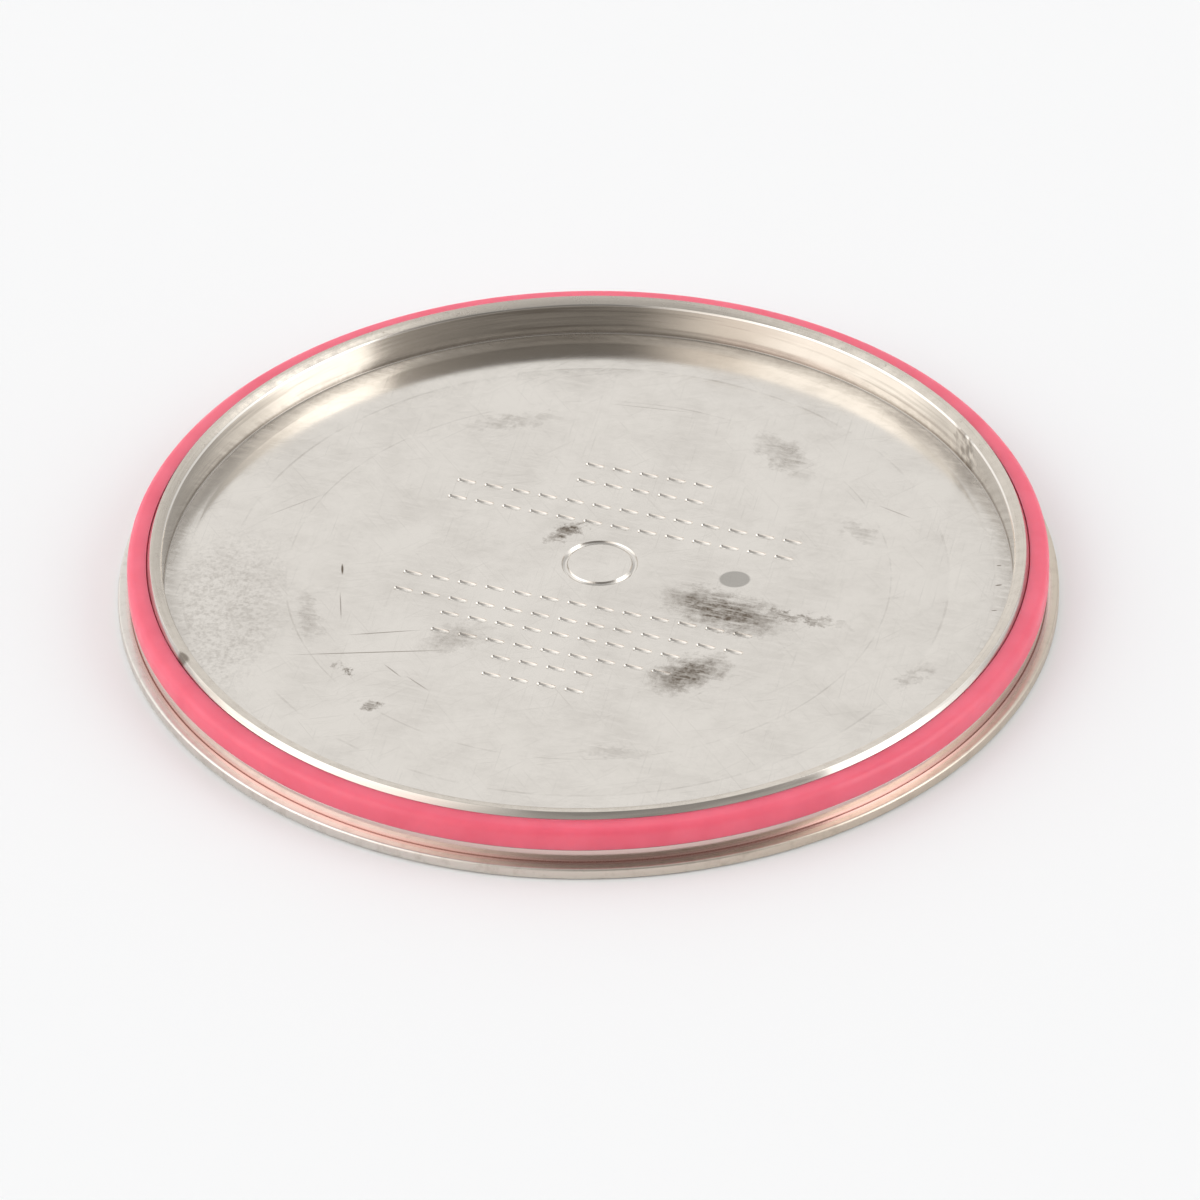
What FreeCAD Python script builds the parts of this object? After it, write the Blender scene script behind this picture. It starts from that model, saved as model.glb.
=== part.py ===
# Snap-fit back of a wristwatch case, seen from inside, with its sealing gasket.
#
# The back is one turned piece of stainless steel: a thin disc with a narrow lip all round, a
# shoulder above the lip that carries the gasket, and a collar that snaps into the watch case.
# The gasket is a loose plastic ring that sits round the collar and rests on the shoulder.
#
# Frame: millimetres, +Z up through the collar, origin at the centre of the outer face.
import FreeCAD, Part
import Sketcher
import os

# Driving dimensions, one row of the sheet each: name, value in millimetres, what it measures.
SIZES = (
    ("flange_diameter", 30.00, "outer disc across the lip"),
    ("lip_height", 0.40, "outer face to the top of the lip"),
    ("bevel_width", 0.08, "bevel under the lip, across"),
    ("bevel_height", 0.06, "bevel under the lip, up"),
    ("lip_bevel", 0.04, "bevel on the lip's outer edge"),
    ("shoulder_diameter", 29.34, "shoulder under the gasket, flush with it"),
    ("seat_height", 0.90, "outer face to the gasket seat"),
    ("collar_diameter", 28.18, "collar behind the gasket"),
    ("cone_foot_height", 1.50, "outer face to the foot of the lead-in cone"),
    ("rim_diameter", 27.86, "highest ring of the collar"),
    ("rim_height", 1.82, "outer face to that ring"),
    ("land_diameter", 27.20, "inner edge of the brushed land"),
    ("land_height", 1.72, "outer face to that edge"),
    ("bore_diameter", 27.10, "inside of the collar"),
    ("bore_bevel", 0.06, "drop of the bevel between the land and the bore"),
    ("floor_height", 0.58, "outer face to the inner floor"),
    ("corner_radius", 0.06, "fillet between the floor and the bore"),
    ("gasket_bore", 28.24, "inside of the gasket"),
    ("gasket_outside", 29.34, "outside of the gasket"),
    ("gasket_height", 0.72, "gasket from foot to crown"),
    ("crown_radius", 0.18, "rounding of the gasket's upper edges"),
    ("foot_bevel", 0.04, "bevel on the gasket's lower edges"),
)
# Two circular edges are the same ring when radius and height agree within this, in millimetres.
RING_MATCH = 0.001

doc = FreeCAD.newDocument("watch_case_back")

sheet = doc.addObject("Spreadsheet::Sheet", "Sizes")
for row, (alias, value, meaning) in enumerate(SIZES, start=1):
    sheet.set(f"A{row}", alias)
    sheet.set(f"B{row}", str(value))
    sheet.set(f"C{row}", meaning)
    sheet.setAlias(f"B{row}", alias)
doc.recompute()


def turned_body(label, corners):
    """Body turned about +Z from a closed half section.

    Each corner is a radius and a height, written as expressions on the sheet. Both become driven
    dimensions of the sketch, and None puts the corner on the axis or on the base line.
    """
    body = doc.addObject("PartDesign::Body", label)
    body.Label = label
    section = body.newObject("Sketcher::SketchObject", label + "_section")
    upright = next(plane for plane in body.Origin.OriginFeatures if plane.Role == "XZ_Plane")
    section.AttachmentSupport = [(upright, "")]
    section.MapMode = "FlatFace"

    def value(expression):
        return 0.0 if expression is None else section.evalExpression(expression)

    points = [FreeCAD.Vector(value(radius), value(height), 0) for radius, height in corners]
    for start, end in zip(points, points[1:] + points[:1]):
        section.addGeometry(Part.LineSegment(start, end), False)
    for line in range(len(points)):
        following = (line + 1) % len(points)
        section.addConstraint(Sketcher.Constraint("Coincident", line, 2, following, 1))
    for line, (radius, height) in enumerate(corners):
        for kind, axis, expression in (("DistanceX", -2, radius), ("DistanceY", -1, height)):
            if expression is None:
                section.addConstraint(Sketcher.Constraint("PointOnObject", line, 1, axis))
                continue
            number = section.addConstraint(
                Sketcher.Constraint(kind, -1, 1, line, 1, value(expression)))
            name = f"{kind}_{line}"
            section.renameConstraint(number, name)
            section.setExpression(f"Constraints.{name}", expression)

    turning = body.newObject("PartDesign::Revolution", label + "_turned")
    turning.Profile = section
    turning.ReferenceAxis = (section, ["V_Axis"])
    turning.Angle = 360.0
    doc.recompute()
    return body


def round_rings(body, name, radius_alias, rings):
    """Fillet of the circular edges that lie at the given radii and heights."""
    base = body.Tip
    chosen = []
    for radius, height in rings:
        at_radius = base.evalExpression(radius)
        at_height = base.evalExpression(height)
        for number, edge in enumerate(base.Shape.Edges, start=1):
            if not isinstance(edge.Curve, Part.Circle):
                continue
            if abs(edge.Curve.Radius - at_radius) > RING_MATCH:
                continue
            if abs(edge.Curve.Center.z - at_height) <= RING_MATCH:
                chosen.append(f"Edge{number}")
    if len(chosen) != len(rings):
        raise RuntimeError(f"{name}: {len(chosen)} edges found for {len(rings)} rings")
    fillet = body.newObject("PartDesign::Fillet", name)
    fillet.Base = (base, chosen)
    fillet.setExpression("Radius", "Sizes." + radius_alias)
    doc.recompute()


# Case back, from the centre of the outer face outwards, then up the outside and down the bore.
case_back = turned_body("case_back", (
    (None, None),
    ("Sizes.flange_diameter / 2 - Sizes.bevel_width", None),
    ("Sizes.flange_diameter / 2", "Sizes.bevel_height"),
    ("Sizes.flange_diameter / 2", "Sizes.lip_height - Sizes.lip_bevel"),
    ("Sizes.flange_diameter / 2 - Sizes.lip_bevel", "Sizes.lip_height"),
    ("Sizes.shoulder_diameter / 2", "Sizes.lip_height"),
    ("Sizes.shoulder_diameter / 2", "Sizes.seat_height"),
    ("Sizes.collar_diameter / 2", "Sizes.seat_height"),
    ("Sizes.collar_diameter / 2", "Sizes.cone_foot_height"),
    ("Sizes.rim_diameter / 2", "Sizes.rim_height"),
    ("Sizes.land_diameter / 2", "Sizes.land_height"),
    ("Sizes.bore_diameter / 2", "Sizes.land_height - Sizes.bore_bevel"),
    ("Sizes.bore_diameter / 2", "Sizes.floor_height"),
    (None, "Sizes.floor_height"),
))
round_rings(case_back, "floor_corner", "corner_radius",
            [("Sizes.bore_diameter / 2", "Sizes.floor_height")])

# Gasket, a ring with a rounded crown that rests on the shoulder with play round the collar.
gasket = turned_body("gasket", (
    ("Sizes.gasket_bore / 2 + Sizes.foot_bevel", "Sizes.seat_height"),
    ("Sizes.gasket_outside / 2 - Sizes.foot_bevel", "Sizes.seat_height"),
    ("Sizes.gasket_outside / 2", "Sizes.seat_height + Sizes.foot_bevel"),
    ("Sizes.gasket_outside / 2", "Sizes.seat_height + Sizes.gasket_height"),
    ("Sizes.gasket_bore / 2", "Sizes.seat_height + Sizes.gasket_height"),
    ("Sizes.gasket_bore / 2", "Sizes.seat_height + Sizes.foot_bevel"),
))
round_rings(gasket, "gasket_crown", "crown_radius",
            [("Sizes.gasket_outside / 2", "Sizes.seat_height + Sizes.gasket_height"),
             ("Sizes.gasket_bore / 2", "Sizes.seat_height + Sizes.gasket_height")])

doc.recompute()
for item in doc.Objects:
    if "Invalid" in item.State or "Error" in item.State:
        raise RuntimeError(f"{item.Label} failed: {item.State}")

pieces = (case_back, gasket)
for piece in pieces:
    if piece.Shape.isNull() or not piece.Shape.isValid() or len(piece.Shape.Solids) != 1:
        raise RuntimeError(f"{piece.Label} is not one valid solid")

shared = case_back.Shape.common(gasket.Shape).Volume
print(f"case back and gasket share {shared:.6f} mm3")

os.makedirs("parts", exist_ok=True)
for piece in pieces:
    piece.Shape.exportStep(f"parts/{piece.Label}.step")
    box = piece.Shape.optimalBoundingBox(False, False)
    print(f"{piece.Label}: {box.XLength:.2f} across, {box.ZMin:.2f} to {box.ZMax:.2f} high,"
          f" {piece.Shape.Volume:.2f} mm3, {len(piece.Shape.Faces)} faces")
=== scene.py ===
# %% [markdown]
# A watch case back lies on a white table with its inside up. It is a single turned piece of
# stainless steel, and the only thing on it is a pink gasket round its collar. Both pieces are
# round, so each is one half section that is turned about the upright axis, and most of the
# likeness comes from the steel, from its wear and from what it mirrors.
#
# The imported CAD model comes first, because every piece here takes its place and its size from it.

import math

import bmesh
import bpy
from mathutils import Matrix, Vector


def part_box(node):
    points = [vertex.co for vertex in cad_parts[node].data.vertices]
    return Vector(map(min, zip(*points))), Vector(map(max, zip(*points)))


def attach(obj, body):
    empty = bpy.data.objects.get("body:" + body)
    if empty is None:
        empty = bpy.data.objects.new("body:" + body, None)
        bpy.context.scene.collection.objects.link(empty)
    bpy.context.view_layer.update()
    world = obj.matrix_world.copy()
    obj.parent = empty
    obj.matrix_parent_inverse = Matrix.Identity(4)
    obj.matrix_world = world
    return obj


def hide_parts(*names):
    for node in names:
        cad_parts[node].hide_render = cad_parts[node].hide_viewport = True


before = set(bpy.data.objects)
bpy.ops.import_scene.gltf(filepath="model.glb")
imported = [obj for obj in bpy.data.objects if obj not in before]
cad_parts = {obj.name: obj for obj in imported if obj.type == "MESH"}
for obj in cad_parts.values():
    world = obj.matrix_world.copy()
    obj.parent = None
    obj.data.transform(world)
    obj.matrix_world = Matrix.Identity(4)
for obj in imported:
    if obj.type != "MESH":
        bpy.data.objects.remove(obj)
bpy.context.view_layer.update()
MM = 0.001

# %% [markdown]
# The camera stands where the photographer's did, 36 degrees above the table and far enough away
# that the circles hardly taper. A long lens is what gives that look. The camera was turned a
# little about its own axis, so the table seems to climb to the right, and the object stands left
# of the middle of the frame.

# %% Camera
ELEVATION = math.radians(36.4)
ROLL = math.radians(-0.87)
DISTANCE = 300.0
LENS = 282.2
SENSOR = 36.0
AIM_RIGHT = 0.36
AIM_DOWN = 0.64
LIP_HEIGHT = 0.40

camera_data = bpy.data.cameras.new("camera")
camera_data.lens = LENS
camera_data.sensor_width = SENSOR
camera_data.clip_start = 10 * MM
camera = bpy.data.objects.new("camera", camera_data)
bpy.context.scene.collection.objects.link(camera)
bpy.context.scene.camera = camera

towards_camera = Vector((0, -math.cos(ELEVATION), math.sin(ELEVATION)))
camera_up = Vector((0, math.sin(ELEVATION), math.cos(ELEVATION)))
aim = Vector((0, 0, LIP_HEIGHT)) + Vector((1, 0, 0)) * AIM_RIGHT - camera_up * AIM_DOWN
turn = towards_camera.to_track_quat("Z", "Y").to_matrix().to_4x4()
camera.matrix_world = (Matrix.Translation((aim + towards_camera * DISTANCE) * MM)
                       @ turn @ Matrix.Rotation(ROLL, 4, "Z"))
print("camera at", [round(value, 4) for value in camera.matrix_world.translation])

# %% [markdown]
# Nodes are set up the same way all through the lesson, so one small function adds a node with its
# settings and its links. An input is given a value, a socket, or a whole node, whose result is
# then linked. Colours are picked as the screen shows them, and a second function turns them into
# the linear values that light works with.

# %% Helpers for nodes and colours
def linear(colour):
    """Linear RGBA of a screen colour such as #d6d1cb."""
    channels = [int(colour[at:at + 2], 16) / 255 for at in (1, 3, 5)]
    straight = [c / 12.92 if c <= 0.04045 else ((c + 0.055) / 1.055) ** 2.4 for c in channels]
    return (*straight, 1.0)


def add(tree, kind, inputs=None, **settings):
    """New node in a tree, with its settings, its input values and its links."""
    node = tree.nodes.new(kind)
    for name, value in settings.items():
        setattr(node, name, value)
    for name, value in (inputs or {}).items():
        if isinstance(value, bpy.types.Node):
            value = next(socket for socket in value.outputs if socket.enabled)
        if isinstance(value, bpy.types.NodeSocket):
            tree.links.new(value, node.inputs[name])
        else:
            node.inputs[name].default_value = value
    return node


# %% [markdown]
# Polished steel has no look of its own: it shows the studio. So the studio is drawn first, as a
# world of soft light that never moves. It is painted like a panorama, as tones at bearings round
# the object: 0 is the side where the camera stands, positive bearings go round by the right, and
# 180 is straight behind. There are three such strips, one near the table, one at the height where
# most of the steel looks and one above that, and they blend into each other. Overhead it is dim.
#
# A narrow, very bright softbox stands on the right and a wide, creamier one on the left. The wall
# behind is pale, and round the camera the room is dark. That dark part is what makes the front of
# the rim deep in tone.

# %% Studio light
# Bearing in degrees, strength, and the tint that goes with it.
NEUTRAL = (1.0, 1.0, 1.0)
CREAM = (1.0, 0.86, 0.82)
WARM_GREY = (1.0, 0.96, 0.92)
HIGH_STRIP = (
    (-180, 0.95, NEUTRAL), (-150, 0.92, NEUTRAL), (-138, 1.00, NEUTRAL), (-128, 0.85, NEUTRAL),
    (-122, 1.50, NEUTRAL), (-117, 1.22, NEUTRAL), (-108, 1.30, NEUTRAL), (-98, 1.95, NEUTRAL),
    (-58, 2.00, NEUTRAL), (-42, 1.45, WARM_GREY), (-30, 1.08, WARM_GREY), (-21, 0.62, WARM_GREY),
    (-14, 0.26, WARM_GREY), (0, 0.21, WARM_GREY), (28, 0.25, WARM_GREY), (44, 0.36, WARM_GREY),
    (57, 0.58, WARM_GREY), (60, 2.40, NEUTRAL), (88, 2.40, NEUTRAL), (97, 1.60, NEUTRAL),
    (110, 1.15, NEUTRAL), (122, 0.74, NEUTRAL), (134, 0.58, NEUTRAL), (155, 0.60, NEUTRAL),
    (170, 0.88, NEUTRAL), (180, 0.95, NEUTRAL),
)
LOW_STRIP = (
    (-180, 0.95, NEUTRAL), (-120, 1.20, NEUTRAL), (-95, 1.75, WARM_GREY), (-80, 1.90, WARM_GREY),
    (-62, 1.70, CREAM), (-46, 1.34, CREAM), (-37, 1.04, CREAM), (-30, 0.72, WARM_GREY),
    (-22, 0.52, WARM_GREY), (-10, 0.42, WARM_GREY), (28, 0.42, WARM_GREY), (50, 0.48, WARM_GREY),
    (57, 0.58, WARM_GREY), (59, 2.40, NEUTRAL), (84, 2.40, NEUTRAL), (92, 1.20, NEUTRAL),
    (110, 0.90, NEUTRAL), (140, 0.80, NEUTRAL), (165, 0.95, NEUTRAL), (180, 0.95, NEUTRAL),
)
UPPER_STRIP = (
    (-180, 0.60, NEUTRAL), (-168, 0.80, NEUTRAL), (-156, 1.25, NEUTRAL), (-144, 1.25, NEUTRAL),
    (-125, 1.05, NEUTRAL), (-80, 1.40, NEUTRAL), (-40, 1.00, NEUTRAL), (0, 0.40, WARM_GREY),
    (45, 0.60, NEUTRAL), (75, 1.40, NEUTRAL), (110, 0.80, NEUTRAL), (138, 0.80, NEUTRAL),
    (145, 2.40, NEUTRAL), (155, 2.40, NEUTRAL), (163, 0.70, NEUTRAL), (180, 0.60, NEUTRAL),
)
LIGHT = 1.09
OVERHEAD = 0.48
# Heights of direction, as sines, between which one strip turns into the next.
LOW_TO_HIGH = (0.20, 0.54)
HIGH_TO_UPPER = (0.70, 0.80)
UPPER_TO_OVERHEAD = (0.86, 0.92)
BACKGROUND = linear("#fbfbfb")

world = bpy.data.worlds.new("studio")
bpy.context.scene.world = world
world.use_nodes = True
studio = world.node_tree
studio.nodes.clear()
direction = add(studio, "ShaderNodeTexCoord").outputs["Generated"]
along = add(studio, "ShaderNodeSeparateXYZ", {0: direction}).outputs
camera_side = add(studio, "ShaderNodeMath", {0: along["Y"], 1: -1.0}, operation="MULTIPLY")
bearing = add(studio, "ShaderNodeMath", {0: along["X"], 1: camera_side}, operation="ARCTAN2")
bearing = add(studio, "ShaderNodeMapRange",
              {"Value": bearing, "From Min": -math.pi, "From Max": math.pi})


def painted_round(strip):
    """Tones of a strip at every bearing, blended from each to the next."""
    brightest = max(strength for _, strength, _ in strip)
    tones = add(studio, "ShaderNodeValToRGB", {"Fac": bearing})
    stops = tones.color_ramp.elements
    while len(stops) < len(strip):
        stops.new(1.0)
    for stop, (degrees, strength, tint) in zip(stops, strip):
        stop.position = degrees / 360 + 0.5
        stop.color = (*(channel * strength / brightest for channel in tint), 1)
    return add(studio, "ShaderNodeVectorMath", {0: tones, "Scale": brightest}, operation="SCALE")


room = painted_round(LOW_STRIP)
for (start, end), above in ((LOW_TO_HIGH, painted_round(HIGH_STRIP)),
                            (HIGH_TO_UPPER, painted_round(UPPER_STRIP)),
                            (UPPER_TO_OVERHEAD, (OVERHEAD, OVERHEAD, OVERHEAD, 1))):
    risen = add(studio, "ShaderNodeMapRange", {"Value": along["Z"], "From Min": start,
                                               "From Max": end}, interpolation_type="SMOOTHSTEP")
    room = add(studio, "ShaderNodeMix", {0: risen, 6: room, 7: above}, data_type="RGBA")
lit = add(studio, "ShaderNodeBackground", {"Color": room, "Strength": LIGHT})
seen = add(studio, "ShaderNodeBackground", {"Color": BACKGROUND})
camera_ray = add(studio, "ShaderNodeLightPath").outputs["Is Camera Ray"]
sky = add(studio, "ShaderNodeMixShader", {0: camera_ray, 1: lit, 2: seen})
add(studio, "ShaderNodeOutputWorld", {"Surface": sky})
bpy.context.scene.view_settings.view_transform = "Standard"
print("studio has", len(studio.nodes), "nodes")

# %% [markdown]
# The table is plain and white. It is a real surface that the light falls on, so the object's
# shadow and the pink that its gasket throws on the white are worked out and not painted.

# %% Table
TABLE_WHITE = linear("#f4f5f6")
TABLE_SIDE = 2000.0


def material(name):
    """Empty node material and its tree."""
    made = bpy.data.materials.new(name)
    made.use_nodes = True
    made.node_tree.nodes.clear()
    return made, made.node_tree


white_table, tree = material("painted_table_board")
board = add(tree, "ShaderNodeBsdfPrincipled", {"Base Color": TABLE_WHITE, "Roughness": 0.7})
add(tree, "ShaderNodeOutputMaterial", {"Surface": board})

table_shape = bmesh.new()
bmesh.ops.create_grid(table_shape, x_segments=1, y_segments=1, size=TABLE_SIDE / 2 * MM)
table_mesh = bpy.data.meshes.new("table")
table_shape.to_mesh(table_mesh)
table_shape.free()
table = bpy.data.objects.new("table", table_mesh)
bpy.context.scene.collection.objects.link(table)
table.data.materials.append(white_table)
print("table", TABLE_SIDE, "mm wide")

# %% [markdown]
# A lathe makes both pieces, and so does spin: the half section is drawn once, as corners from the
# axis outwards, and turned through a full circle. Real corners are never sharp, so each one names
# the radius that a tool or a polishing wheel left on it, and bevel rounds the ring that the corner
# became. Big flat faces would otherwise pick up shading from those small roundings, so the shading
# is weighted by the size of the faces.

# %% Turning
TURN_STEPS = 384
ROUND_SEGMENTS = 4
SAME_RING = 0.0005
SHARP = math.radians(35)


def place(point):
    """Radius and height of a point in millimetres."""
    return math.hypot(point.x, point.y) / MM, point.z / MM


def turned(corners, finishes, disc_finish=None):
    """Shape turned from corners, each its radius, height, rounding and the finish that follows.

    With disc_finish the section is open at both ends, and each end is closed by a flat disc.
    """
    shape = bmesh.new()
    section = [shape.verts.new((corner[0] * MM, 0, corner[1] * MM)) for corner in corners]
    stretches = list(zip(corners, corners[1:] + corners[:1]))
    lines = list(zip(section, section[1:] + section[:1]))
    if disc_finish:
        stretches.pop()
        lines.pop()
    for line in lines:
        shape.edges.new(line)
    bmesh.ops.spin(shape, geom=shape.verts[:] + shape.edges[:], cent=(0, 0, 0), axis=(0, 0, 1),
                   angle=math.tau, steps=TURN_STEPS, use_merge=True)
    bmesh.ops.remove_doubles(shape, verts=shape.verts, dist=SAME_RING * MM)
    for face in shape.faces:
        radius, height = place(face.calc_center_median())
        nearest = min(stretches, key=lambda pair: math.hypot(
            (pair[0][0] + pair[1][0]) / 2 - radius, (pair[0][1] + pair[1][1]) / 2 - height))
        face.material_index = finishes.index(nearest[0][3])
    if disc_finish:
        for face in bmesh.ops.holes_fill(shape, edges=shape.edges, sides=0)["faces"]:
            inside = face.calc_center_median().z > 0
            face.material_index = finishes.index(disc_finish[0] if inside else disc_finish[1])
    for corner in corners:
        if corner[2] == 0:
            continue
        ring = [edge for edge in shape.edges if all(
            math.dist(place(vert.co), corner[:2]) < SAME_RING for vert in edge.verts)]
        bmesh.ops.bevel(shape, geom=ring, affect="EDGES", offset=corner[2] * MM,
                        segments=ROUND_SEGMENTS, profile=0.5, material=-1, clamp_overlap=False)
    bmesh.ops.recalc_face_normals(shape, faces=shape.faces)
    return shape


def piece(name, shape, materials):
    """Object made of a shape, which is freed, with its materials in the order of its finishes."""
    mesh = bpy.data.meshes.new(name)
    shape.to_mesh(mesh)
    shape.free()
    made = bpy.data.objects.new(name, mesh)
    bpy.context.scene.collection.objects.link(made)
    for finish in materials:
        mesh.materials.append(finish)
    return made


def smooth(made):
    """Shades an object smoothly between its sharp edges, its big faces first."""
    for face in made.data.polygons:
        face.use_smooth = True
    made.data.set_sharp_from_angle(angle=SHARP)
    weighted = made.modifiers.new("weighted_shading", "WEIGHTED_NORMAL")
    weighted.keep_sharp = True


# %% [markdown]
# The back is one piece of stainless steel. From the middle outwards it has a flat floor, an upright
# wall, a land that climbs a little, a steep polished cone that leads the collar into the case, the
# collar itself, the seat and shoulder of the gasket, and a thin lip. Its outside sizes are read
# from the CAD model, and the others repeat the drawing.
#
# Three things are finer than the drawing shows. The shoulder leans in a little towards its foot,
# so what it mirrors reaches the lip first and then the room: that is why it looks like the cone
# above it. A hairline groove runs along its foot, where the tool was cleared. And three faint rings
# on the floor are where the turning tool changed its feed.

# %% Section of the back
_, back_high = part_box("case_back")
gasket_low, gasket_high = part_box("gasket")
FLANGE_RADIUS = back_high.x / MM
RIM_HEIGHT = back_high.z / MM
SEAT_HEIGHT = gasket_low.z / MM
SHOULDER_RADIUS = gasket_high.x / MM
CROWN_HEIGHT = gasket_high.z / MM
FLOOR_HEIGHT = 0.58
BORE_RADIUS = 13.55
LAND_RADIUS = 13.60
LAND_HEIGHT = 1.72
BORE_BEVEL = 0.06
RIM_RADIUS = 13.93
COLLAR_RADIUS = 14.09
CONE_FOOT = 1.50
BEVEL_WIDTH = 0.08
BEVEL_HEIGHT = 0.06
LEAN = 0.07
CLEARANCE = 0.035
# How far each kind of edge is rounded.
FLOOR_CORNER = 0.06
LIP_ROUNDING = 0.08
EDGE = 0.02
RIM_EDGE = 0.015
FINE_EDGE = 0.01
# Radius, half width and depth of the faint grooves in the floor.
RING_GROOVES = ((9.65, 0.06, 0.0040), (11.50, 0.08, 0.0060), (12.95, 0.05, 0.0040))

floor_corners = []
for radius, half_width, depth in RING_GROOVES:
    floor_corners += [(radius - half_width, FLOOR_HEIGHT, 0, "floor"),
                      (radius, FLOOR_HEIGHT - depth, 0, "floor"),
                      (radius + half_width, FLOOR_HEIGHT, 0, "floor")]
shoulder_foot = SHOULDER_RADIUS - LEAN
BACK_CORNERS = floor_corners + [
    (BORE_RADIUS, FLOOR_HEIGHT, FLOOR_CORNER, "polished"),
    (BORE_RADIUS, LAND_HEIGHT - BORE_BEVEL, FINE_EDGE, "polished"),
    (LAND_RADIUS, LAND_HEIGHT, FINE_EDGE, "land"),
    (RIM_RADIUS, RIM_HEIGHT, RIM_EDGE, "polished"),
    (COLLAR_RADIUS, CONE_FOOT, EDGE, "polished"),
    (COLLAR_RADIUS, SEAT_HEIGHT, EDGE, "polished"),
    (SHOULDER_RADIUS, SEAT_HEIGHT, FINE_EDGE, "shoulder"),
    (shoulder_foot, LIP_HEIGHT - CLEARANCE, 0, "shoulder"),
    (shoulder_foot + CLEARANCE, LIP_HEIGHT, 0, "shoulder"),
    (FLANGE_RADIUS, LIP_HEIGHT, LIP_ROUNDING, "shoulder"),
    (FLANGE_RADIUS, BEVEL_HEIGHT, EDGE, "underside"),
    (FLANGE_RADIUS - BEVEL_WIDTH, 0.0, EDGE, "underside"),
]
FINISHES = ["floor", "polished", "land", "shoulder", "underside"]
print("back", 2 * FLANGE_RADIUS, "mm across and", round(RIM_HEIGHT, 2), "mm high")

# %% [markdown]
# Stainless steel is a metal, so its colour is the colour of what it mirrors, times its own warm
# grey. What changes from place to place is how its surface was left.
#
# The floor was faced on a lathe and then rubbed, so it has rings too fine to count, a haze that
# blurs what it mirrors, hairline scratches from tools and cloths, and stains where dirt dried.
# Each stain or long scratch is an ellipse that is put in its place by a Mapping node of the type
# Texture, which undoes a move, a turn and a stretch. Inside that ellipse a spherical gradient fades
# from 1 in the middle to 0 at the edge.

# %% Steel of the floor
STEEL = linear("#dbd6cf")
STAIN = linear("#5a4c3c")
GREY_SPOT = linear("#96938d")
# Pitch of the turning rings, and how far along them the noise changes, in millimetres.
FLOOR_RINGS = (0.09, 9.0)
HAZE_SIZE = 2.2
SPECK_SIZE = 0.16
HAIRLINE_WIDTH = 0.035
HAIRLINE_LENGTH = 1.9
# Direction of each set of hairlines in degrees, and a shift that makes it unlike the others.
FLOOR_HAIRLINES = ((8, 3.1), (-63, 7.7), (78, 12.3), (37, 21.9))
# Stains were wiped to and fro, at this angle, into streaks this long and wide.
WIPED = -20
WIPED_LENGTH = 1.1
WIPED_WIDTH = 0.17
# Noise with this many cells to the millimetre pulls the outline of a stain about, this strongly.
RAGGED_CELLS = 2.4
RAGGED_PULL = 1.9
# The noise eats into a stain from its edge, so its ellipse is drawn this much longer and wider.
STAIN_LONGER = 1.3
STAIN_WIDER = 1.5
# Each stain's middle, half length, half width, turn in degrees and strength.
STAINS = (
    (4.3, -2.0, 1.9, 0.80, -28, 0.95), (3.7, -1.7, 1.0, 0.35, -20, 1.00),
    (6.3, -2.35, 1.8, 0.18, -17, 0.75), (3.1, -5.3, 1.3, 0.65, 28, 0.90),
    (-0.7, 2.45, 0.80, 0.26, 40, 0.95), (6.4, 6.4, 1.3, 0.50, -55, 0.42),
    (-6.9, -6.7, 0.30, 0.26, 0, 0.80), (-7.7, -4.8, 0.30, 0.14, -50, 0.80),
    (-4.2, -3.2, 1.1, 0.55, 20, 0.34), (8.6, 2.2, 0.9, 0.3, -50, 0.28),
    (10.2, -5.6, 0.8, 0.25, 48, 0.30), (-2.4, 8.6, 1.5, 0.30, 8, 0.26),
    (0.6, -9.3, 1.1, 0.25, -6, 0.20), (-8.9, -1.9, 0.35, 1.2, 5, 0.30),
)
# Long scratches, given in the same way.
SCRATCHES = (
    (-6.8, -3.92, 2.9, 0.030, 1.4, 0.60), (-6.5, -2.88, 1.3, 0.025, 4.9, 0.60),
    (-7.85, 0.55, 0.33, 0.045, -89, 0.9), (-7.88, -1.4, 0.8, 0.025, -88, 0.50),
    (-6.2, -4.9, 0.5, 0.03, -52, 0.45), (-5.4, -5.6, 0.6, 0.03, -48, 0.40),
    (13.1, 0.2, 0.10, 0.03, 0, 0.8), (13.05, -0.85, 0.14, 0.04, 10, 0.8),
    (12.85, -2.2, 0.12, 0.03, 0, 0.7), (9.9, 3.2, 0.7, 0.03, -35, 0.35),
    (-9.4, 4.1, 1.2, 0.022, 32, 0.30), (2.1, 9.2, 1.5, 0.022, -12, 0.28),
)
# One grey spot and one stained side, each an ellipse with its strength on the next line.
OLD_SPOT = (4.66, -0.32, 0.52, 0.46, 0)
SPOT_STRENGTH = 0.75
STAINED_SIDE = (-11.9, -2.0, 2.6, 5.4, -12)
SIDE_DIRT = 0.30
# The floor is darker and patchier towards the wall: from this radius to that one.
CORNER_STARTS = 12.75
CORNER_FULL = 13.45
CORNER_DARKENING = 0.30
# The corner is darker, from this radius out and up to this height on the wall.
FOOT_DARKENING_STARTS = 13.47
FOOT_DARKENING_HEIGHT = 0.76
FOOT_DARKENING = 0.75
GROOVE_DIRT = 0.18
CLOUD_DIRT = 0.15
HAIRLINE_DIRT = 0.10
# How much dirt and darkening roughen the steel, and how deep hairlines are against turning rings.
CRUST = 0.30
HAIRLINE_RELIEF = 2.0
# Every ellipse is a pillar this tall, so it also marks the wall and the rim.
PILLAR = 100


def millimetres(tree):
    """Object coordinates in millimetres."""
    inside = add(tree, "ShaderNodeTexCoord").outputs["Object"]
    return add(tree, "ShaderNodeVectorMath", {0: inside, "Scale": 1 / MM}, operation="SCALE")


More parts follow.
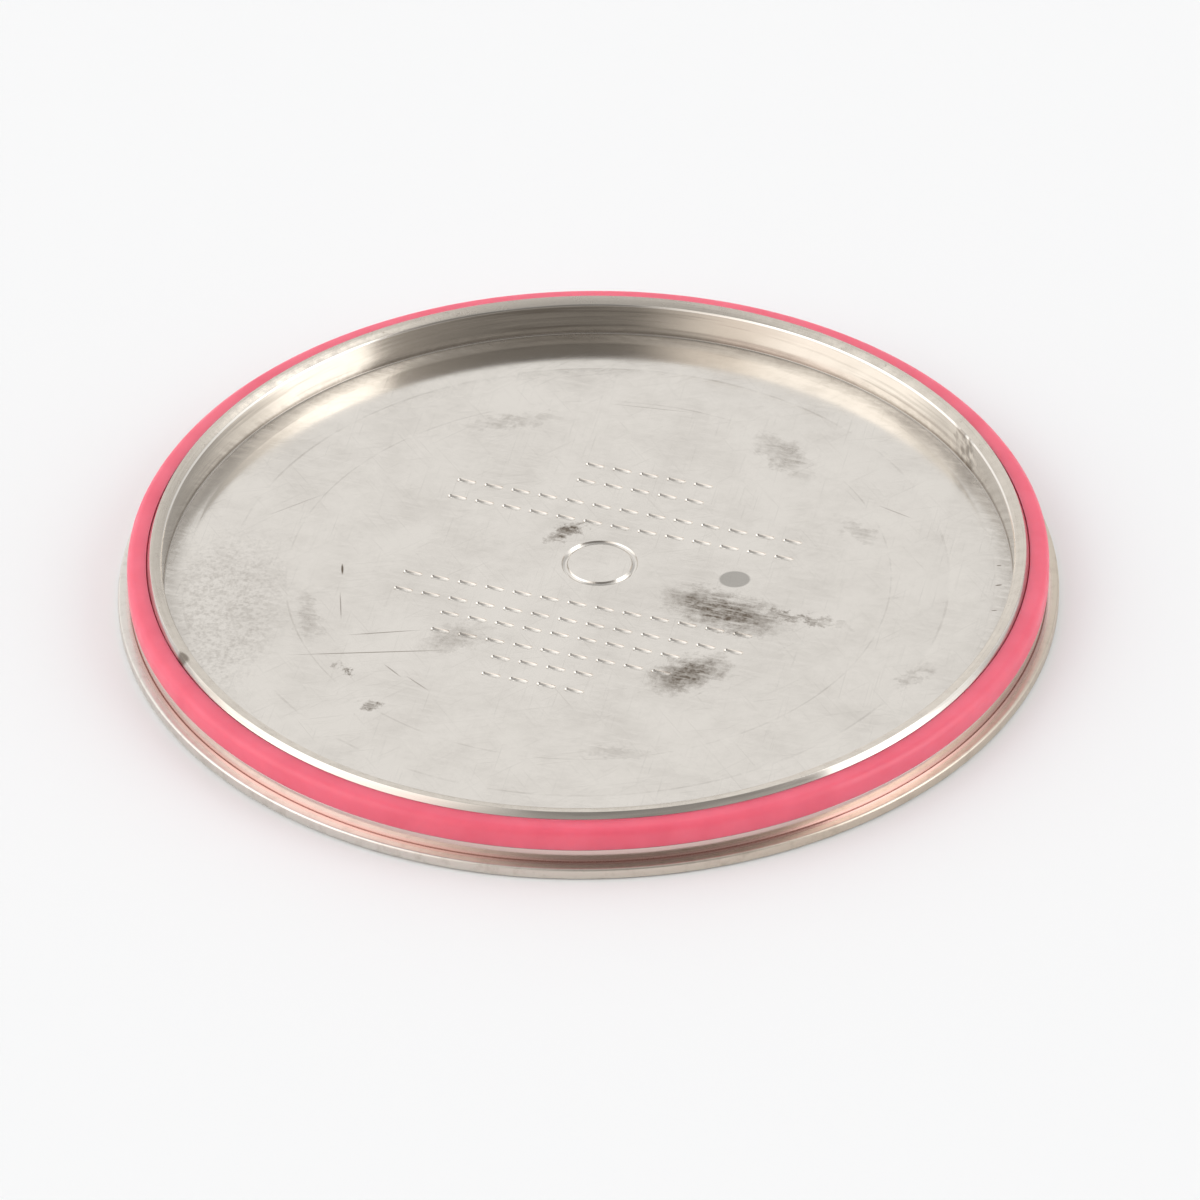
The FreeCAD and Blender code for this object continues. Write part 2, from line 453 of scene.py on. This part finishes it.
def from_axis(tree, where):
    """Distance from the axis."""
    flat = add(tree, "ShaderNodeVectorMath", {0: where, 1: (1, 1, 0)}, operation="MULTIPLY")
    return add(tree, "ShaderNodeVectorMath", {0: flat}, operation="LENGTH")


def ellipse(tree, where, x, y, half_length, half_width, degrees):
    """1 in the middle of an ellipse seen from above, 0 from its edge on."""
    put = add(tree, "ShaderNodeMapping",
              {"Vector": where, "Location": (x, y, 0), "Rotation": (0, 0, math.radians(degrees)),
               "Scale": (half_length, half_width, PILLAR)}, vector_type="TEXTURE")
    return add(tree, "ShaderNodeTexGradient", {"Vector": put}, gradient_type="SPHERICAL")


def mark(tree, where, shape, full_at, strength=1.0):
    """How strong a mark is: none at its ellipse's edge, full where the gradient is full_at."""
    return add(tree, "ShaderNodeMapRange", {"Value": ellipse(tree, where, *shape),
                                            "From Max": full_at, "To Max": strength})


def lathe_rings(tree, where, pitch, sweep):
    """Noise that runs round the axis: fine across the rings and long along them."""
    parts = add(tree, "ShaderNodeSeparateXYZ", {0: where}).outputs
    across = add(tree, "ShaderNodeMath", {0: from_axis(tree, where), 1: parts["Z"]},
                 operation="ADD")
    across = add(tree, "ShaderNodeMath", {0: across, 1: pitch}, operation="DIVIDE")
    along_x = add(tree, "ShaderNodeMath", {0: parts["X"], 1: sweep}, operation="DIVIDE")
    along_y = add(tree, "ShaderNodeMath", {0: parts["Y"], 1: sweep}, operation="DIVIDE")
    wound = add(tree, "ShaderNodeCombineXYZ", {"X": along_x, "Y": along_y, "Z": across})
    return add(tree, "ShaderNodeTexNoise",
               {"Vector": wound, "Scale": 1.0, "Detail": 3.0, "Roughness": 0.6})


def hairlines(tree, where, sets):
    """Thin scratches, one direction to a set, a few tenths to a few millimetres long."""
    scuffs = None
    for degrees, shift in sets:
        turned_to = add(tree, "ShaderNodeMapping",
                        {"Vector": where, "Location": (shift, shift, 0),
                         "Rotation": (0, 0, math.radians(degrees)),
                         "Scale": (HAIRLINE_LENGTH, HAIRLINE_WIDTH, 1)}, vector_type="TEXTURE")
        lines = add(tree, "ShaderNodeTexNoise", {"Vector": turned_to, "Scale": 1.0, "Detail": 1.0,
                                                 "Roughness": 0.4})
        lines = add(tree, "ShaderNodeMapRange", {"Value": lines, "From Min": 0.66,
                                                 "From Max": 0.80})
        scuffs = lines if scuffs is None else add(tree, "ShaderNodeMath", {0: scuffs, 1: lines},
                                                  operation="MAXIMUM")
    return scuffs


floor_steel, tree = material("faced_stainless_steel")
where = millimetres(tree)
haze = add(tree, "ShaderNodeTexNoise", {"Vector": where, "Scale": 1 / HAZE_SIZE, "Detail": 6.0,
                                        "Roughness": 0.66})
rings = lathe_rings(tree, where, *FLOOR_RINGS)
ragged = add(tree, "ShaderNodeTexNoise", {"Vector": where, "Scale": RAGGED_CELLS, "Detail": 6.0,
                                          "Roughness": 0.75}).outputs["Color"]
shake = add(tree, "ShaderNodeVectorMath", {0: ragged, 1: (0.5, 0.5, 0.5)}, operation="SUBTRACT")
shaken = add(tree, "ShaderNodeVectorMath",
             {0: shake, 1: (RAGGED_PULL, RAGGED_PULL, 0), 2: where}, operation="MULTIPLY_ADD")
specks = add(tree, "ShaderNodeTexNoise", {"Vector": where, "Scale": 1 / SPECK_SIZE, "Detail": 3.0,
                                          "Roughness": 0.7})
wiped = add(tree, "ShaderNodeMapping",
            {"Vector": where, "Rotation": (0, 0, math.radians(WIPED)),
             "Scale": (WIPED_LENGTH, WIPED_WIDTH, 1)}, vector_type="TEXTURE")
wiped = add(tree, "ShaderNodeTexNoise", {"Vector": wiped, "Scale": 1.0, "Detail": 5.0,
                                         "Roughness": 0.65})
wiped = add(tree, "ShaderNodeMapRange", {"Value": wiped, "From Min": 0.32, "From Max": 0.54,
                                         "To Min": 0.25})
grime = add(tree, "ShaderNodeMapRange", {"Value": specks, "From Min": 0.30, "From Max": 0.60,
                                         "To Min": 0.50})
grime = add(tree, "ShaderNodeMath", {0: grime, 1: wiped}, operation="MULTIPLY")
dirt_and_darkening = None
for x, y, half_length, half_width, degrees, strength in STAINS:
    blot = ellipse(tree, shaken, x, y, half_length * STAIN_LONGER, half_width * STAIN_WIDER,
                   degrees)
    blot = add(tree, "ShaderNodeMapRange",
               {"Value": blot, "From Min": 0.05, "From Max": 0.70, "To Max": strength})
    dirt_and_darkening = blot if dirt_and_darkening is None else add(tree, "ShaderNodeMath", {0: dirt_and_darkening, 1: blot},
                                         operation="MAXIMUM")
dirt_and_darkening = add(tree, "ShaderNodeMath", {0: dirt_and_darkening, 1: grime}, operation="MULTIPLY")
side = mark(tree, shaken, STAINED_SIDE, full_at=0.5)
fine = add(tree, "ShaderNodeMapRange", {"Value": specks, "From Min": 0.42, "From Max": 0.72,
                                        "To Max": SIDE_DIRT})
side = add(tree, "ShaderNodeMath", {0: side, 1: fine}, operation="MULTIPLY")
dirt_and_darkening = add(tree, "ShaderNodeMath", {0: dirt_and_darkening, 1: side}, operation="MAXIMUM")
# The floor turns darker and patchier towards the wall.
corner = add(tree, "ShaderNodeMapRange", {"Value": from_axis(tree, where),
                                          "From Min": CORNER_STARTS, "From Max": CORNER_FULL,
                                          "To Max": CORNER_DARKENING}, interpolation_type="SMOOTHSTEP")
corner = add(tree, "ShaderNodeMath", {0: corner, 1: grime}, operation="MULTIPLY")
dirt_and_darkening = add(tree, "ShaderNodeMath", {0: dirt_and_darkening, 1: corner}, operation="MAXIMUM")
# Darker into the corner at the foot of the wall.
foot_darkening = add(tree, "ShaderNodeMapRange", {"Value": from_axis(tree, where),
                                          "From Min": FOOT_DARKENING_STARTS, "From Max": BORE_RADIUS,
                                          "To Max": FOOT_DARKENING})
dirt_and_darkening = add(tree, "ShaderNodeMath", {0: dirt_and_darkening, 1: foot_darkening}, operation="MAXIMUM")
patchy = add(tree, "ShaderNodeMapRange", {"Value": haze, "From Min": 0.42, "From Max": 0.65,
                                          "To Max": GROOVE_DIRT})
for radius, half_width, _ in RING_GROOVES:
    groove = add(tree, "ShaderNodeMath",
                 {0: from_axis(tree, where), 1: radius, 2: half_width / 2}, operation="COMPARE")
    groove = add(tree, "ShaderNodeMath", {0: groove, 1: patchy}, operation="MULTIPLY")
    dirt_and_darkening = add(tree, "ShaderNodeMath", {0: dirt_and_darkening, 1: groove}, operation="MAXIMUM")
for *shape, strength in SCRATCHES:
    line = mark(tree, where, shape, full_at=0.5, strength=strength)
    dirt_and_darkening = add(tree, "ShaderNodeMath", {0: dirt_and_darkening, 1: line}, operation="MAXIMUM")
scuffs = hairlines(tree, where, FLOOR_HAIRLINES)
clouded = add(tree, "ShaderNodeMapRange", {"Value": haze, "From Min": 0.40, "From Max": 0.72,
                                           "To Max": CLOUD_DIRT})
clouded = add(tree, "ShaderNodeMath", {0: clouded, 1: wiped}, operation="MULTIPLY")
toned = add(tree, "ShaderNodeMix", {0: clouded, 6: STEEL, 7: STAIN}, data_type="RGBA")
scored = add(tree, "ShaderNodeMath", {0: scuffs, 1: HAIRLINE_DIRT}, operation="MULTIPLY")
toned = add(tree, "ShaderNodeMix", {0: scored, 6: toned, 7: STAIN}, data_type="RGBA")
spot = mark(tree, where, OLD_SPOT, full_at=0.12, strength=SPOT_STRENGTH)
toned = add(tree, "ShaderNodeMix", {0: spot, 6: toned, 7: GREY_SPOT}, data_type="RGBA")
toned = add(tree, "ShaderNodeMix", {0: dirt_and_darkening, 6: toned, 7: STAIN}, data_type="RGBA")
relief = add(tree, "ShaderNodeMath", {0: scuffs, 1: -HAIRLINE_RELIEF}, operation="MULTIPLY")
relief = add(tree, "ShaderNodeMath", {0: relief, 1: rings}, operation="ADD")
bump = add(tree, "ShaderNodeBump", {"Height": relief, "Strength": 0.4, "Distance": 0.0008 * MM})
rough = add(tree, "ShaderNodeMapRange", {"Value": haze, "From Min": 0.3, "From Max": 0.7,
                                         "To Min": 0.13, "To Max": 0.22})
crust = add(tree, "ShaderNodeMath", {0: dirt_and_darkening, 1: CRUST}, operation="MULTIPLY")
rough = add(tree, "ShaderNodeMath", {0: rough, 1: crust}, operation="ADD")
steel = add(tree, "ShaderNodeBsdfPrincipled",
            {"Base Color": toned, "Metallic": 1.0, "Roughness": rough, "Normal": bump})
add(tree, "ShaderNodeOutputMaterial", {"Surface": steel})
print("floor steel has", len(tree.nodes), "nodes")

# %% [markdown]
# The wall, the cone and the collar were polished on the lathe. They mirror the softboxes almost
# sharply, but the tool has left rings on them, some fine and some broad, that pull every
# reflection a little along the axis and part it into streaks.
#
# Two marks of use break the polish: gouges on the wall at the right, where a tool slipped, and a
# dark nick in the rim at the front left. The wall is also darker all along its foot.

# %% Polished steel
# Pitch of the fine rings and of the broad streaks, and how far along them the noise changes.
POLISHED_RINGS = (0.05, 5.0)
POLISHED_STREAKS = (0.22, 7.0)
CLOUD_CELLS = 0.9
# How much the rings and the streaks count in the relief, where the cloud counts once.
RINGS_SHARE = 0.5
STREAKS_SHARE = 3.0
TARNISH = 0.38
# The middle, half length, half width and turn of the place where the tool slipped.
SLIP_MARK = (12.3, 5.85, 1.15, 0.55, -64)
GOUGE_SIZE = 0.32
GOUGE_RELIEF = 26.0
GOUGE_DIRT = 0.55
# The nick, given in the same way. It also reaches the land.
NICK = (-12.72, -5.66, 0.34, 0.20, -66)
NICK_DARKNESS = 0.70

polished_steel, tree = material("polished_stainless_steel")
where = millimetres(tree)
rings = lathe_rings(tree, where, *POLISHED_RINGS)
streaks = lathe_rings(tree, where, *POLISHED_STREAKS)
cloud = add(tree, "ShaderNodeTexNoise", {"Vector": where, "Scale": CLOUD_CELLS, "Detail": 4.0,
                                         "Roughness": 0.6})
fine = add(tree, "ShaderNodeMath", {0: rings, 1: RINGS_SHARE}, operation="MULTIPLY")
broad = add(tree, "ShaderNodeMath", {0: streaks, 1: STREAKS_SHARE}, operation="MULTIPLY")
relief = add(tree, "ShaderNodeMath", {0: fine, 1: broad}, operation="ADD")
relief = add(tree, "ShaderNodeMath", {0: relief, 1: cloud}, operation="ADD")
slipped = mark(tree, where, SLIP_MARK, full_at=0.6)
gouged = add(tree, "ShaderNodeTexNoise", {"Vector": where, "Scale": 1 / GOUGE_SIZE, "Detail": 1.0,
                                          "Roughness": 0.5})
gouged = add(tree, "ShaderNodeMath", {0: gouged, 1: slipped}, operation="MULTIPLY")
deep = add(tree, "ShaderNodeMath", {0: gouged, 1: -GOUGE_RELIEF}, operation="MULTIPLY")
relief = add(tree, "ShaderNodeMath", {0: relief, 1: deep}, operation="ADD")
bump = add(tree, "ShaderNodeBump", {"Height": relief, "Strength": 0.7, "Distance": 0.0022 * MM})
rough = add(tree, "ShaderNodeMapRange", {"Value": rings, "From Min": 0.3, "From Max": 0.7,
                                         "To Min": 0.09, "To Max": 0.18})
tarnish = add(tree, "ShaderNodeMapRange", {"Value": streaks, "From Min": 0.50, "From Max": 0.68,
                                           "To Max": TARNISH})
toned = add(tree, "ShaderNodeMix", {0: tarnish, 6: STEEL, 7: STAIN}, data_type="RGBA")
scarred = add(tree, "ShaderNodeMapRange", {"Value": gouged, "From Min": 0.38, "From Max": 0.60,
                                           "To Max": GOUGE_DIRT})
nick = mark(tree, where, NICK, full_at=0.4, strength=NICK_DARKNESS)
scarred = add(tree, "ShaderNodeMath", {0: scarred, 1: nick}, operation="MAXIMUM")
toned = add(tree, "ShaderNodeMix", {0: scarred, 6: toned, 7: STAIN}, data_type="RGBA")
height = add(tree, "ShaderNodeSeparateXYZ", {0: where}).outputs["Z"]
# The wall turns darker towards its foot.
foot_darkening = add(tree, "ShaderNodeMapRange", {"Value": height, "From Min": FOOT_DARKENING_HEIGHT,
                                          "From Max": FLOOR_HEIGHT, "To Max": FOOT_DARKENING})
toned = add(tree, "ShaderNodeMix", {0: foot_darkening, 6: toned, 7: STAIN}, data_type="RGBA")
steel = add(tree, "ShaderNodeBsdfPrincipled",
            {"Base Color": toned, "Metallic": 1.0, "Roughness": rough, "Normal": bump})
add(tree, "ShaderNodeOutputMaterial", {"Surface": steel})

# %% [markdown]
# The shoulder next to the gasket is painted rose, a painted reflection of the pink light that the
# gasket throws on it. The lip outside it is duller and speckled with dirt from the wrist, and
# painted shade makes it darker and browner towards the right.

# %% Steel of the shoulder
# Rose is a painted reflection of the gasket's pink on the shoulder.
PAINTED_PINK_REFLECTION = linear("#dcc5bf")
SHADED_LIP_STEEL = linear("#d2c7b8")
LIP_DIRT = linear("#8a7a68")
LIP_GRAIN = 0.45
LIP_SPECKLED = 0.35
SHOULDER_RINGS = (0.05, 4.0)
# Painted shade turns the lip browner from this far left of the middle to as far right of it.
SHADE_REACH = 7.0
# Radius out to which the painted pink reflection is full, and radius at which it ends.
PINK_REFLECTION_FULL = 14.66
PINK_REFLECTION_ENDS = 14.80

shoulder_steel, tree = material("stained_stainless_steel_with_painted_pink_reflection")
where = millimetres(tree)
rings = lathe_rings(tree, where, *SHOULDER_RINGS)
pink_reflection_mask = add(tree, "ShaderNodeMapRange",
           {"Value": from_axis(tree, where), "From Min": PINK_REFLECTION_ENDS, "From Max": PINK_REFLECTION_FULL},
           interpolation_type="SMOOTHSTEP")
grain = add(tree, "ShaderNodeTexNoise", {"Vector": where, "Scale": 1 / LIP_GRAIN, "Detail": 5.0,
                                         "Roughness": 0.7})
grain = add(tree, "ShaderNodeMapRange", {"Value": grain, "From Min": 0.50, "From Max": 0.78,
                                         "To Max": LIP_SPECKLED})
to_right = add(tree, "ShaderNodeSeparateXYZ", {0: where}).outputs["X"]
to_right = add(tree, "ShaderNodeMapRange", {"Value": to_right, "From Min": -SHADE_REACH,
                                            "From Max": SHADE_REACH})
# Painted shade: the lip darker and browner towards the right.
lip_shade_and_dirt = add(tree, "ShaderNodeMix", {0: to_right, 6: STEEL, 7: SHADED_LIP_STEEL},
              data_type="RGBA")
lip_shade_and_dirt = add(tree, "ShaderNodeMix", {0: grain, 6: lip_shade_and_dirt, 7: LIP_DIRT}, data_type="RGBA")
# Painted pink reflection of the gasket on the shoulder next to it.
toned = add(tree, "ShaderNodeMix", {0: pink_reflection_mask, 6: lip_shade_and_dirt, 7: PAINTED_PINK_REFLECTION}, data_type="RGBA")
bump = add(tree, "ShaderNodeBump", {"Height": rings, "Strength": 0.5, "Distance": 0.001 * MM})
rough = add(tree, "ShaderNodeMapRange", {"Value": pink_reflection_mask, "To Min": 0.30, "To Max": 0.17})
steel = add(tree, "ShaderNodeBsdfPrincipled",
            {"Base Color": toned, "Metallic": 1.0, "Roughness": rough, "Normal": bump})
add(tree, "ShaderNodeOutputMaterial", {"Surface": steel})

# %% [markdown]
# The land on top of the collar was left as the tool and the brush made it. It is satin, a little
# beiger than the rest, and mottled with fine lines and small nicks.

# %% Brushed steel
BEIGE_STEEL = linear("#d3cbc0")
DULL = linear("#8f867b")
LAND_RINGS = (0.07, 3.0)
# Noise cells to the millimetre, of the mottling and of the small nicks.
MOTTLE_CELLS = 2.4
NICK_CELLS = 7.0
# How dull each kind of wear makes the land at most.
MOTTLED = 0.25
NICKED = 0.40
LINED = 0.16

brushed_steel, tree = material("brushed_stainless_steel")
where = millimetres(tree)
rings = lathe_rings(tree, where, *LAND_RINGS)
cloud = add(tree, "ShaderNodeTexNoise", {"Vector": where, "Scale": MOTTLE_CELLS, "Detail": 6.0,
                                         "Roughness": 0.7})
nicks = add(tree, "ShaderNodeTexNoise", {"Vector": where, "Scale": NICK_CELLS, "Detail": 2.0,
                                         "Roughness": 0.5})
wear = add(tree, "ShaderNodeMapRange", {"Value": cloud, "From Min": 0.42, "From Max": 0.75,
                                        "To Max": MOTTLED})
nicked = add(tree, "ShaderNodeMapRange", {"Value": nicks, "From Min": 0.69, "From Max": 0.76,
                                          "To Max": NICKED})
lined = add(tree, "ShaderNodeMapRange", {"Value": rings, "From Min": 0.47, "From Max": 0.70,
                                         "To Max": LINED})
wear = add(tree, "ShaderNodeMath", {0: wear, 1: nicked}, operation="ADD")
wear = add(tree, "ShaderNodeMath", {0: wear, 1: lined}, operation="ADD")
toned = add(tree, "ShaderNodeMix", {0: wear, 6: BEIGE_STEEL, 7: DULL}, data_type="RGBA")
nick = mark(tree, where, NICK, full_at=0.4, strength=NICK_DARKNESS)
toned = add(tree, "ShaderNodeMix", {0: nick, 6: toned, 7: STAIN}, data_type="RGBA")
relief = add(tree, "ShaderNodeMath", {0: rings, 1: nicks}, operation="ADD")
bump = add(tree, "ShaderNodeBump", {"Height": relief, "Strength": 0.5, "Distance": 0.003 * MM})
rough = add(tree, "ShaderNodeMapRange", {"Value": cloud, "From Min": 0.3, "From Max": 0.7,
                                         "To Min": 0.19, "To Max": 0.30})
steel = add(tree, "ShaderNodeBsdfPrincipled",
            {"Base Color": toned, "Metallic": 1.0, "Roughness": rough, "Normal": bump})
add(tree, "ShaderNodeOutputMaterial", {"Surface": steel})

# %% [markdown]
# The outer face is hidden in the picture. Backs of this kind have it brushed round and round, with
# the fine scratches of wear, so that is what shows when the part is turned over.

# %% Steel of the outer face
UNDERSIDE_RINGS = (0.16, 4.0)
UNDERSIDE_LINED = 0.35
UNDERSIDE_HAIRLINES = ((25, 1.9), (-48, 5.3))
UNDERSIDE_HAIRLINE_RELIEF = 0.8
UNDERSIDE_ROUGHNESS = 0.30

underside_steel, tree = material("circular_brushed_stainless_steel")
where = millimetres(tree)
rings = lathe_rings(tree, where, *UNDERSIDE_RINGS)
scuffs = hairlines(tree, where, UNDERSIDE_HAIRLINES)
lined = add(tree, "ShaderNodeMapRange", {"Value": rings, "From Min": 0.35, "From Max": 0.70,
                                         "To Max": UNDERSIDE_LINED})
toned = add(tree, "ShaderNodeMix", {0: lined, 6: STEEL, 7: DULL}, data_type="RGBA")
scored = add(tree, "ShaderNodeMath", {0: scuffs, 1: -UNDERSIDE_HAIRLINE_RELIEF},
             operation="MULTIPLY")
relief = add(tree, "ShaderNodeMath", {0: rings, 1: scored}, operation="ADD")
bump = add(tree, "ShaderNodeBump", {"Height": relief, "Strength": 0.6, "Distance": 0.004 * MM})
steel = add(tree, "ShaderNodeBsdfPrincipled",
            {"Base Color": toned, "Metallic": 1.0, "Roughness": UNDERSIDE_ROUGHNESS,
             "Normal": bump})
add(tree, "ShaderNodeOutputMaterial", {"Surface": steel})
print("five finishes of steel")

# %% [markdown]
# The floor of such a back is struck with marks. Nothing is spelled here: plain dashes in pairs and
# one plain ring stand in those places. Each dash is the dent of a rounded punch, so its cutter is a
# ball that is flattened, pulled long and sunk part of the way into the steel. The ring's cutter is
# the same flattened round, turned about its middle.

# %% Struck marks
MARKS_CENTRE = (0.37, 0.66)
MARKS_TURN = math.radians(-19)
ROW_PITCH = 0.92
DASH_GAP = 0.46
DASH_LENGTH = 0.66
DASH_WIDTH = 0.23
DASH_DEPTH = 0.07
# How far each row lies from the ring, and how many pairs of dashes it has.
ROWS = ((4.57, 5), (2.49, 13), (-2.76, 13), (-4.48, 9), (-6.21, 4))
RING_RADIUS = 1.12
# The middle of a cutter stays this far above the floor, so it is sunk less than half.
RAISED = DASH_DEPTH * 0.6
BALL_ROUND = 12
BALL_UPRIGHT = 8
RING_SECTION = 10
RING_STEPS = 96

punches = bmesh.new()


def punch_dash(x, y):
    """Cutter of one dash, in the frame of the marks."""
    ball = bmesh.ops.create_uvsphere(punches, u_segments=BALL_ROUND, v_segments=BALL_UPRIGHT,
                                     radius=1)["verts"]
    bmesh.ops.scale(punches, vec=(DASH_WIDTH / 2, DASH_WIDTH / 2, DASH_DEPTH + RAISED), verts=ball)
    for vert in ball:
        vert.co.x += math.copysign((DASH_LENGTH - DASH_WIDTH) / 2, vert.co.x)
    bmesh.ops.translate(punches, vec=(x, y, FLOOR_HEIGHT + RAISED), verts=ball)


for away, count in ROWS:
    for number in range(count):
        along_row = (number - (count - 1) / 2) * ROW_PITCH
        punch_dash(along_row, away + DASH_GAP)
        punch_dash(along_row, away - DASH_GAP)
profile = bmesh.ops.create_circle(punches, segments=RING_SECTION, radius=1,
                                  cap_ends=False)["verts"]
bmesh.ops.scale(punches, vec=(DASH_WIDTH / 2, DASH_DEPTH + RAISED, 1), verts=profile)
bmesh.ops.rotate(punches, matrix=Matrix.Rotation(math.pi / 2, 3, "X"), verts=profile)
bmesh.ops.translate(punches, vec=(RING_RADIUS, 0, FLOOR_HEIGHT + RAISED), verts=profile)
outline = list(dict.fromkeys(edge for vert in profile for edge in vert.link_edges))
bmesh.ops.spin(punches, geom=profile + outline, cent=(0, 0, 0), axis=(0, 0, 1), angle=math.tau,
               steps=RING_STEPS, use_merge=True)
bmesh.ops.remove_doubles(punches, verts=punches.verts, dist=SAME_RING)
bmesh.ops.rotate(punches, matrix=Matrix.Rotation(MARKS_TURN, 3, "Z"), verts=punches.verts)
bmesh.ops.translate(punches, vec=(*MARKS_CENTRE, 0), verts=punches.verts)
bmesh.ops.scale(punches, vec=(MM, MM, MM), verts=punches.verts)
bmesh.ops.recalc_face_normals(punches, faces=punches.faces)
print("struck marks", 2 * sum(count for _, count in ROWS), "dashes and a ring")

# %% [markdown]
# Now the back is turned, and one boolean takes all the marks out of its floor at once. Its result
# becomes the mesh itself, so the cutters can go. The piece then stands in for the CAD model's node
# and rides on its body.

# %% Back
back = piece("case_back_steel", turned(BACK_CORNERS, FINISHES, ("floor", "underside")),
             [floor_steel, polished_steel, brushed_steel, shoulder_steel, underside_steel])
punch = piece("punches", punches, [])
cut = back.modifiers.new("struck_marks", "BOOLEAN")
cut.operation = "DIFFERENCE"
cut.solver = "EXACT"
cut.object = punch
bpy.context.view_layer.update()
struck = bpy.data.meshes.new_from_object(
    back.evaluated_get(bpy.context.evaluated_depsgraph_get()))
back.modifiers.clear()
back.data = struck
bpy.data.objects.remove(punch)
smooth(back)
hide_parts("case_back")
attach(back, "back")
print("back has", len(back.data.polygons), "faces")

# %% [markdown]
# The gasket is a ring of soft plastic, moulded in one pink and a little see-through, which is why
# its edges look lighter where light gets in behind them. Subsurface scattering over a few tenths
# of a millimetre gives that. Its skin is satin: it spreads the softboxes into a pale gloss that
# takes the depth out of the pink on the sides that face them. Faint lines from the mould run
# round it.

# %% Gasket
GASKET_BORE = 14.12
OUTER_ROUNDING = 0.24
INNER_ROUNDING = 0.03
FOOT_ROUNDING = 0.02
# The bore narrows just under the crown, where the soft ring closes on the cone.
CLOSING_HEIGHT = 1.48
CLOSING_BORE = 14.045
PINK = linear("#f1637c")
DEEP_PINK = linear("#ea5973")
SKIN_GRAIN = 1.3
MOULD_LINES = (0.12, 6.0)
PLASTIC_IOR = 1.51
GLOSS = 0.75
# How much of the light scatters inside, how far, and how far each of red, green and blue gets.
SCATTERED = 0.6
SCATTER = 0.22
SCATTER_COLOURS = (1.0, 0.35, 0.35)

pink_plastic, tree = material("moulded_pink_polyethylene")
where = millimetres(tree)
cloud = add(tree, "ShaderNodeTexNoise", {"Vector": where, "Scale": 1 / SKIN_GRAIN, "Detail": 3.0,
                                         "Roughness": 0.5})
rings = lathe_rings(tree, where, *MOULD_LINES)
deeper = add(tree, "ShaderNodeMapRange", {"Value": cloud, "From Min": 0.35, "From Max": 0.70})
toned = add(tree, "ShaderNodeMix", {0: deeper, 6: PINK, 7: DEEP_PINK}, data_type="RGBA")
bump = add(tree, "ShaderNodeBump", {"Height": rings, "Strength": 0.4, "Distance": 0.003 * MM})
rough = add(tree, "ShaderNodeMapRange", {"Value": cloud, "From Min": 0.3, "From Max": 0.7,
                                         "To Min": 0.36, "To Max": 0.46})
plastic = add(tree, "ShaderNodeBsdfPrincipled",
              {"Base Color": toned, "Roughness": rough, "IOR": PLASTIC_IOR,
               "Specular IOR Level": GLOSS, "Subsurface Weight": SCATTERED,
               "Subsurface Radius": SCATTER_COLOURS, "Subsurface Scale": SCATTER * MM,
               "Normal": bump})
add(tree, "ShaderNodeOutputMaterial", {"Surface": plastic})

GASKET_CORNERS = [
    (GASKET_BORE, SEAT_HEIGHT, FOOT_ROUNDING, "plastic"),
    (SHOULDER_RADIUS, SEAT_HEIGHT, FOOT_ROUNDING, "plastic"),
    (SHOULDER_RADIUS, CROWN_HEIGHT, OUTER_ROUNDING, "plastic"),
    (CLOSING_BORE, CROWN_HEIGHT, INNER_ROUNDING, "plastic"),
    (GASKET_BORE, CLOSING_HEIGHT, 0, "plastic"),
]
gasket = piece("gasket_ring", turned(GASKET_CORNERS, ["plastic"]), [pink_plastic])
smooth(gasket)
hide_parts("gasket")
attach(gasket, "seal")
print("gasket", round(CROWN_HEIGHT - SEAT_HEIGHT, 2), "mm high")
